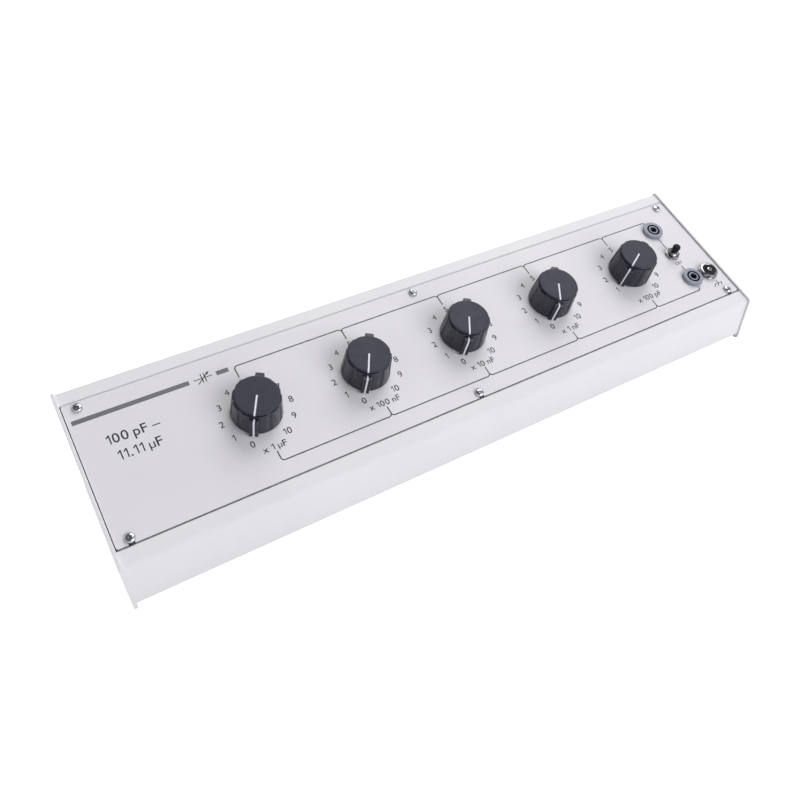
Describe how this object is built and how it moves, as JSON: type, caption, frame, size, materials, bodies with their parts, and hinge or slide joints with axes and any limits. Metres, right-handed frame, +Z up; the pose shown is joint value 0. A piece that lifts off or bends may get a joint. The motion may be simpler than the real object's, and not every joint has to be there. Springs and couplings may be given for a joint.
{
  "type": "capacitance decade box",
  "caption": "Sloping bench console with a row of fluted pointer knobs that switch capacitor decades, shrouded sockets, an earth terminal and a toggle.",
  "frame": {"origin": "under the middle of the box, on the surface that the feet stand on", "axes": "+X along the box to the right, +Y to the rear, +Z up"},
  "size_m": [0.448, 0.1056, 0.0743],
  "materials": {
    "case_lacquer": "fine textured light grey lacquer",
    "panel_lacquer": "smooth light grey lacquer with dark grey print",
    "zinc": "bright zinc plating",
    "tinned_copper": "tinned",
    "rubber": "matt rubber",
    "board": "glass-fibre board",
    "phenolic": "phenolic paper",
    "capacitor": "moulded box",
    "socket_grey": "moulded blue-grey plastic",
    "contact": "dulled nickel plating on brass",
    "chrome": "bright nickel",
    "toggle_case": "moulded phenolic",
    "black_plastic": "moulded black plastic",
    "knob": "moulded matt black plastic",
    "knob_cap": "moulded dark blue-grey plastic",
    "mark": "white filled line"
  },
  "bodies": {
    "case": {"front_wall": "case_lacquer", "rear_wall": "case_lacquer", "base_plate": "case_lacquer", "end_plate_left": "case_lacquer", "end_plate_right": "case_lacquer", "panel": "panel_lacquer", "panel_screws": "zinc", "base_screws": "zinc", "end_plate_screws": "zinc", "end_blocks": "zinc", "front_rail": "zinc", "rear_rail": "zinc", "board_standoffs": "zinc", "board_screws": "zinc", "socket_nuts": "zinc", "earth_nut": "zinc", "switch_nuts": "zinc", "switch_bush_1": "zinc", "switch_bush_2": "zinc", "switch_bush_3": "zinc", "switch_bush_4": "zinc", "switch_bush_5": "zinc", "bus_wires": "tinned_copper", "toggle_lugs": "tinned_copper", "feet": "rubber", "capacitor_board": "board", "switch_wafers": "phenolic", "capacitors": "capacitor", "socket_rear": "socket_grey", "socket_front": "socket_grey", "socket_contact_rear": "contact", "socket_contact_front": "contact", "toggle_bush": "chrome", "toggle_nut": "chrome", "earth_ring": "chrome", "earth_pin": "chrome", "toggle_case": "toggle_case", "earth_insert": "black_plastic"},
    "dial_1": {"knob_1": "knob", "knob_cap_1": "knob_cap", "pointer_mark_1": "mark", "switch_shaft_1": "zinc"},
    "dial_2": {"knob_2": "knob", "knob_cap_2": "knob_cap", "pointer_mark_2": "mark", "switch_shaft_2": "zinc"},
    "dial_3": {"knob_3": "knob", "knob_cap_3": "knob_cap", "pointer_mark_3": "mark", "switch_shaft_3": "zinc"},
    "dial_4": {"knob_4": "knob", "knob_cap_4": "knob_cap", "pointer_mark_4": "mark", "switch_shaft_4": "zinc"},
    "dial_5": {"knob_5": "knob", "knob_cap_5": "knob_cap", "pointer_mark_5": "mark", "switch_shaft_5": "zinc"},
    "discharge_lever": {"toggle_lever": "chrome", "toggle_sleeve": "black_plastic"}
  },
  "joints": [
    {"name": "dial_1_turn", "type": "hinge", "parent": "case", "child": "dial_1", "pos_m": [-0.1265, -0.00223, 0.0605], "axis": [0, 0.342, -0.9397], "range_deg": [0, 300]},
    {"name": "dial_2_turn", "type": "hinge", "parent": "case", "child": "dial_2", "pos_m": [-0.0565, -0.00223, 0.0605], "axis": [0, 0.342, -0.9397], "range_deg": [0, 300]},
    {"name": "dial_3_turn", "type": "hinge", "parent": "case", "child": "dial_3", "pos_m": [0.0135, -0.00223, 0.0605], "axis": [0, 0.342, -0.9397], "range_deg": [0, 300]},
    {"name": "dial_4_turn", "type": "hinge", "parent": "case", "child": "dial_4", "pos_m": [0.0835, -0.00223, 0.0605], "axis": [0, 0.342, -0.9397], "range_deg": [0, 300]},
    {"name": "dial_5_turn", "type": "hinge", "parent": "case", "child": "dial_5", "pos_m": [0.1535, -0.00223, 0.0605], "axis": [0, 0.342, -0.9397], "range_deg": [0, 270]},
    {"name": "discharge_lever_tilt", "type": "hinge", "parent": "case", "child": "discharge_lever", "pos_m": [0.1951, 0.00016, 0.05392], "axis": [1, 0, 0], "range_deg": [0, 12], "stiffness_Nm_per_rad": 0.1}
  ]
}
